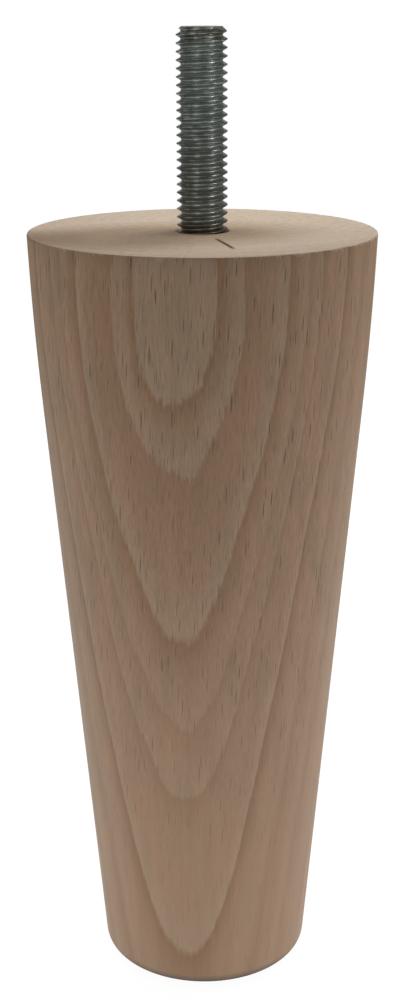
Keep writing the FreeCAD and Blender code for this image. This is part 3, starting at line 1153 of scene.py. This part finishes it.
# %% Who looks
WHITE = (1.0, 1.0, 1.0, 1.0)
BLACK = (0.0, 0.0, 0.0, 1.0)


def by_viewer(sheet, spreading, seen):
    """One shader for light that spreads, and another for the camera, mirrors and glass."""
    rays = sheet.add("ShaderNodeLightPath")
    direct = sheet.out(rays, "Is Camera Ray") + sheet.out(rays, "Is Glossy Ray")
    direct = sheet.calc("ADD", direct, sheet.out(rays, "Is Transmission Ray"), clamp=True)
    return sheet.through(sheet.add("ShaderNodeMixShader"), "Shader", direct, spreading, seen)


def matt(sheet, colour):
    return sheet.through(sheet.add("ShaderNodeBsdfDiffuse"), "BSDF", colour)


def glow(sheet, colour, strength=1.0):
    return sheet.through(sheet.add("ShaderNodeEmission"), "Emission", colour, strength)


def together(sheet, one, other):
    return sheet.through(sheet.add("ShaderNodeAddShader"), "Shader", one, other)


print("white is", WHITE[:3])

# %% The floor's material
FLOOR_WHITE = (0.85, 0.85, 0.85, 1.0)
POOL_LIGHT = 1.13  # brightness of the lit floor round the leg, where 1 is white
POOL_EDGE = (120.0 * MM, 500.0 * MM)  # from the axis, over which it fades
FOOT_SHADE = (16.8 * MM, 18.8 * MM)  # the leg keeps light from the floor close round its foot
SHADOW_WHITE = (0.10, 0.10, 0.10, 1.0)  # the share of the floor that takes the shadow
NEAR_WHITE = 0.97  # of the floor near the leg, which the lamps bring to white outside the shadow


def make_floor():
    material, sheet, output = empty_material("white_floor")
    measure = sheet.add("ShaderNodeVectorMath", operation="LENGTH")
    away = sheet.through(measure, "Value", own_place(sheet))
    clear = away.ramp(*FOOT_SHADE)
    paper = matt(sheet, sheet.tint(clear, BLACK, FLOOR_WHITE))
    pool = glow(sheet, WHITE, away.ramp(*POOL_EDGE, POOL_LIGHT, 0.0) * clear)
    white = glow(sheet, WHITE, away.ramp(*POOL_EDGE, NEAR_WHITE, 1.0))
    spreading = together(sheet, paper, pool)
    seen = together(sheet, white, matt(sheet, SHADOW_WHITE))
    sheet.feed(output.inputs["Surface"], by_viewer(sheet, spreading, seen))
    return material


white_floor = make_floor()
print("floor nodes", len(white_floor.node_tree.nodes))

# %% The floor
FLOOR_REACH = 1.5  # m from the axis to each side
FLOOR_DROP = 0.02 * MM  # keeps the floor from meeting the foot's face
ONE_FACE = [(0, 1, 2, 3)]


def square(reach, height):
    """Corners of a level square."""
    corners = ((-reach, -reach), (reach, -reach), (reach, reach), (-reach, reach))
    return [(x, y, height) for x, y in corners]


def staged_sheet(name, corners, faces, material):
    """A flat piece of the studio, which is no part of the object."""
    mesh = bpy.data.meshes.new(name)
    mesh.from_pydata(corners, [], faces)
    mesh.materials.append(material)
    thing = show(name, mesh)
    return thing


staged_sheet("floor", square(FLOOR_REACH, -FLOOR_DROP), ONE_FACE, white_floor)
print("floor m", 2.0 * FLOOR_REACH)

# %% [markdown]
# ## Sky
#
# The sky is white in the same way: white to the camera and in mirrors, and only a faint light on the
# wood. A sky that lit everything evenly would be simpler, but it would take the form out of the taper.

# %% Sky
SKY_LIGHT = 0.03


def sky_glow(sheet, strength):
    return sheet.through(sheet.add("ShaderNodeBackground"), "Background", WHITE, strength)


world = bpy.data.worlds.new("white_sky")
world.use_nodes = True
world.node_tree.nodes.clear()
sky = NodeSheet(world.node_tree)
sky_shader = by_viewer(sky, sky_glow(sky, SKY_LIGHT), sky_glow(sky, 1.0))
sky.feed(sky.add("ShaderNodeOutputWorld").inputs["Surface"], sky_shader)
bpy.context.scene.world = world
print("sky light", SKY_LIGHT)

# %% [markdown]
# ## Lamps
#
# Soft panels stand behind and beside the leg and above it: the front stays calm, the sides are a little
# brighter, and the end grain is brightest. In the thread they would show as hard white squares, so
# mirrors don't see them. One small lamp does the opposite and is seen by mirrors only: it puts the
# glints on the stud's right side.

# %% Lamps
AIM = Vector((0.0, 0.0, 0.6 * LEG_HEIGHT))
LAMP_AWAY = 0.6
# bearing from the front towards the right and rise above level in degrees, width in m, power in W
PANELS = {
    "key_panel": (120.0, 50.0, 0.50, 2.3),
    "back_panel": (150.0, 30.0, 0.45, 1.0),
    "top_panel": (-120.0, 75.0, 0.25, 1.2),
    "left_panel": (-90.0, 12.0, 0.25, 0.4),
}
GLINT = (58.0, 28.0, 0.15, 0.65)


def soft_panel(name, bearing, rise, width, power):
    """A square area lamp that looks at the leg."""
    data = bpy.data.lights.new(name, "AREA")
    data.size = width
    data.energy = power
    lift = math.radians(rise)
    out = facing(bearing) * math.cos(lift) + UP * math.sin(lift)
    lamp = show(name, data)
    lamp.location = AIM + out * LAMP_AWAY
    lamp.rotation_euler = out.to_track_quat("Z", "Y").to_euler()
    lamp.visible_camera = False
    return lamp


for name, values in PANELS.items():
    panel = soft_panel(name, *values)
    panel.visible_glossy = False
glint = soft_panel("glint_panel", *GLINT)
glint.visible_diffuse = False
print("lamps", len(PANELS) + 1)

# %% [markdown]
# ## Grey cards for the metal
#
# A bright thread mirrors the whole room, and in an all-white room it would look as pale as paper. A
# photographer stands grey cards round such an object, and so does this studio: plain sheets that only
# mirrors see. One of them, at the left of the camera, is nearly white and draws the pale stripe down
# the stud. A gap at the back lets the white background into the edges of the metal.

# %% Cards round the leg
CARD_GREY = 0.25
PALE_GREY = 0.95
CARD_AWAY = 0.9
CARD_HEIGHT = 0.9
CARD_STEPS = 24
CARDS = {  # bearings of both ends, in degrees from the front towards the right, and grey
    "front_card": (-16.0, 168.0, CARD_GREY),
    "pale_card": (-44.0, -16.0, PALE_GREY),
    "left_card": (-168.0, -44.0, CARD_GREY),
}


def card(name, corners, faces, grey):
    """A plain grey sheet that only mirrors see."""
    material, sheet, output = empty_material(name)
    sheet.feed(output.inputs["Surface"], glow(sheet, (grey, grey, grey, 1.0)))
    thing = staged_sheet(name, corners, faces, material)
    thing.visible_camera = False
    thing.visible_diffuse = False
    thing.visible_shadow = False


def curved_card(name, start, end, grey):
    """An upright card bent round the leg."""
    corners = []
    for step in range(CARD_STEPS + 1):
        foot = facing(start + (end - start) * step / CARD_STEPS) * CARD_AWAY
        corners.extend((foot, foot + UP * CARD_HEIGHT))
    faces = [(2 * step, 2 * step + 2, 2 * step + 3, 2 * step + 1) for step in range(CARD_STEPS)]
    card(name, corners, faces, grey)


for name, values in CARDS.items():
    curved_card(name, *values)
print("cards", list(CARDS))

# %% Roof and apron
ROOF_REACH = 1.0
APRON_INNER = 0.35  # the apron lies just over the floor and keeps its far part out of the metal
APRON_HEIGHT = 0.004

card("roof_card", square(ROOF_REACH, CARD_HEIGHT), ONE_FACE, CARD_GREY)
apron_inside = circle(APRON_INNER, APRON_HEIGHT, CARD_STEPS)
apron_outside = circle(CARD_AWAY, APRON_HEIGHT, CARD_STEPS)
apron_faces = []
for step in range(CARD_STEPS):
    after = (step + 1) % CARD_STEPS
    apron_faces.append((step, CARD_STEPS + step, CARD_STEPS + after, after))
card("apron_card", apron_inside + apron_outside, apron_faces, CARD_GREY)
print("apron faces", len(apron_faces))

# %% [markdown]
# ## Done
#
# Colours show as they are written, so the view transform is the plain one.

# %% Colours as written, and done
bpy.context.scene.view_settings.view_transform = "Standard"
